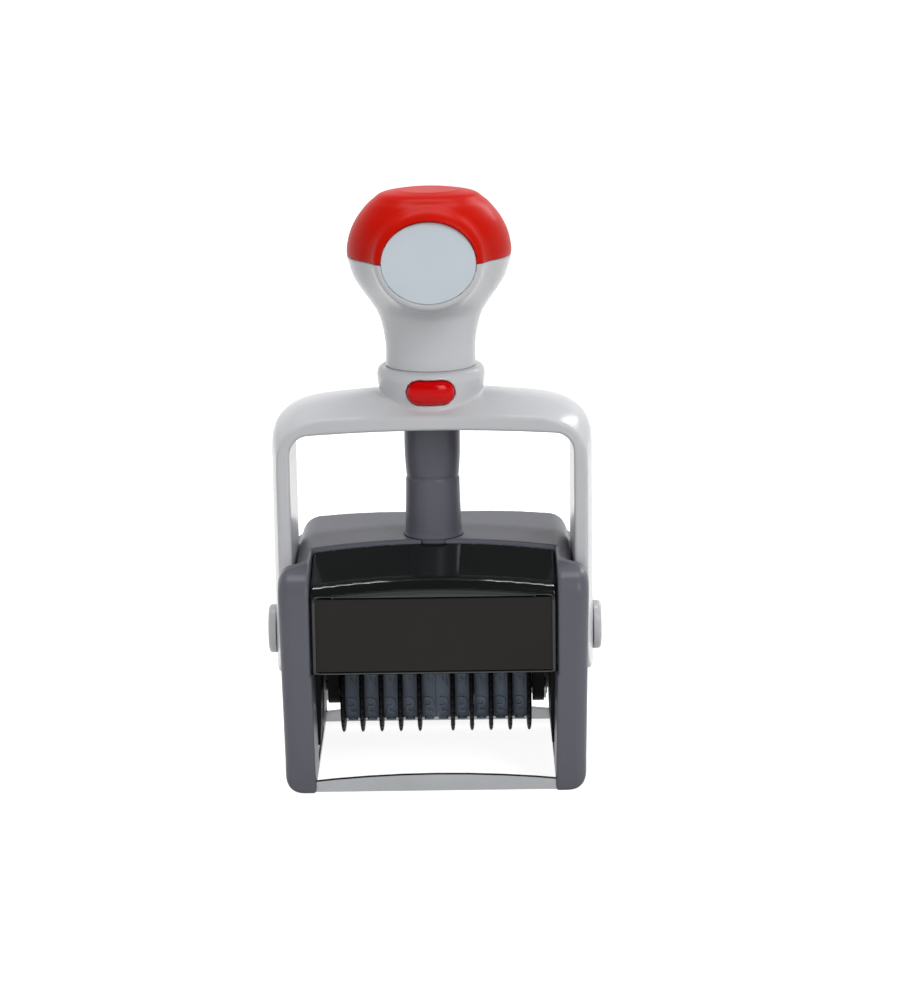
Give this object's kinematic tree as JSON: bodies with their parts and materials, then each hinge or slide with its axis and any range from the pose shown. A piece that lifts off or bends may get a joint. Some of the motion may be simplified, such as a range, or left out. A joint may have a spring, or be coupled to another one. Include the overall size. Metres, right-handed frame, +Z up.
{
  "type": "numbering machine",
  "caption": "Self-inking numbering machine: a knob and yoke press a head of number bands down, which turns over from its ink pad and prints.",
  "frame": {"origin": "centre of the base, on the surface that it stands on", "axes": "X to the right across the bands, Y from the window to the back, Z up; the window faces -Y"},
  "size_m": [0.0868, 0.066, 0.1495],
  "materials": {
    "grey_plastic": "light grey moulded plastic, satin gloss",
    "slate_plastic": "dark slate grey moulded plastic, satin",
    "red_plastic": "red moulded plastic, satin gloss",
    "red_gloss": "red polished plastic",
    "badge": "pale bluish grey plastic disc, bare",
    "smoked_plastic": "smoked near-black plastic, polished",
    "card": "dark card, matte",
    "black_plastic": "black moulded plastic",
    "band_rubber": "blue-grey rubber with raised digits",
    "steel": "plated sheet steel",
    "felt": "felt soaked with dark ink"
  },
  "bodies": {
    "frame": {"base_frame": "steel", "side_plate_right": "steel", "side_plate_left": "steel", "side_liner_right": "black_plastic", "side_liner_left": "black_plastic", "housing": "slate_plastic", "window_cover": "smoked_plastic", "index_card": "card", "guide_column": "slate_plastic", "column_nut": "steel", "return_spring": "steel"},
    "handle": {"handle_yoke": "grey_plastic", "knob_shell": "grey_plastic", "knob_cap": "red_plastic", "knob_badge": "badge", "knob_pin": "steel", "pivot_pin_right": "steel", "pivot_pin_left": "steel", "pivot_cap_right": "grey_plastic", "pivot_cap_left": "grey_plastic"},
    "lock": {"lock_button": "red_gloss"},
    "head": {"head_side_right": "black_plastic", "head_side_left": "black_plastic", "type_frame": "steel", "type_bridge": "steel", "bridge_screw_right": "steel", "bridge_screw_left": "steel", "wheel_axle": "steel", "axle_clip_right": "steel", "axle_clip_left": "steel", "number_band_01": "band_rubber", "number_band_02": "band_rubber", "number_band_03": "band_rubber", "number_band_04": "band_rubber", "number_band_05": "band_rubber", "number_band_06": "band_rubber", "number_band_07": "band_rubber", "number_band_08": "band_rubber", "number_band_09": "band_rubber", "number_band_10": "band_rubber"},
    "drawer": {"pad_drawer": "black_plastic", "ink_pad": "felt"},
    "wheel_01": {"thumb_wheel_01": "black_plastic"},
    "wheel_02": {"thumb_wheel_02": "black_plastic"},
    "wheel_03": {"thumb_wheel_03": "black_plastic"},
    "wheel_04": {"thumb_wheel_04": "black_plastic"},
    "wheel_05": {"thumb_wheel_05": "black_plastic"},
    "wheel_06": {"thumb_wheel_06": "black_plastic"},
    "wheel_07": {"thumb_wheel_07": "black_plastic"},
    "wheel_08": {"thumb_wheel_08": "black_plastic"},
    "wheel_09": {"thumb_wheel_09": "black_plastic"},
    "wheel_10": {"thumb_wheel_10": "black_plastic"}
  },
  "joints": [
    {"name": "handle_press", "type": "slide", "parent": "frame", "child": "handle", "axis": [0, 0, -1], "range_m": [0, 0.022], "stiffness_N_per_m": 300, "springref_m": -0.02, "deforming": ["return_spring"]},
    {"name": "head_turn", "type": "hinge", "parent": "handle", "child": "head", "pos_m": [0, 0, 0.0348], "axis": [1, 0, 0], "range_deg": [0, 180]},
    {"name": "lock_press", "type": "slide", "parent": "handle", "child": "lock", "axis": [0, 1, 0], "range_m": [0, 0.0018], "stiffness_N_per_m": 400, "springref_m": -0.0012},
    {"name": "drawer_pull", "type": "slide", "parent": "frame", "child": "drawer", "axis": [0, 1, 0], "range_m": [0, 0.042]},
    {"name": "wheel_turn_01", "type": "hinge", "parent": "head", "child": "wheel_01", "pos_m": [0, 0, 0.0177], "axis": [1, 0, 0], "continuous": true},
    {"name": "wheel_turn_02", "type": "hinge", "parent": "head", "child": "wheel_02", "pos_m": [0, 0, 0.0177], "axis": [1, 0, 0], "continuous": true},
    {"name": "wheel_turn_03", "type": "hinge", "parent": "head", "child": "wheel_03", "pos_m": [0, 0, 0.0177], "axis": [1, 0, 0], "continuous": true},
    {"name": "wheel_turn_04", "type": "hinge", "parent": "head", "child": "wheel_04", "pos_m": [0, 0, 0.0177], "axis": [1, 0, 0], "continuous": true},
    {"name": "wheel_turn_05", "type": "hinge", "parent": "head", "child": "wheel_05", "pos_m": [0, 0, 0.0177], "axis": [1, 0, 0], "continuous": true},
    {"name": "wheel_turn_06", "type": "hinge", "parent": "head", "child": "wheel_06", "pos_m": [0, 0, 0.0177], "axis": [1, 0, 0], "continuous": true},
    {"name": "wheel_turn_07", "type": "hinge", "parent": "head", "child": "wheel_07", "pos_m": [0, 0, 0.0177], "axis": [1, 0, 0], "continuous": true},
    {"name": "wheel_turn_08", "type": "hinge", "parent": "head", "child": "wheel_08", "pos_m": [0, 0, 0.0177], "axis": [1, 0, 0], "continuous": true},
    {"name": "wheel_turn_09", "type": "hinge", "parent": "head", "child": "wheel_09", "pos_m": [0, 0, 0.0177], "axis": [1, 0, 0], "continuous": true},
    {"name": "wheel_turn_10", "type": "hinge", "parent": "head", "child": "wheel_10", "pos_m": [0, 0, 0.0177], "axis": [1, 0, 0], "continuous": true}
  ],
  "couplings": [
    {"joint": "head_turn", "follows": "handle_press", "rad_per_m": 142.79}
  ]
}
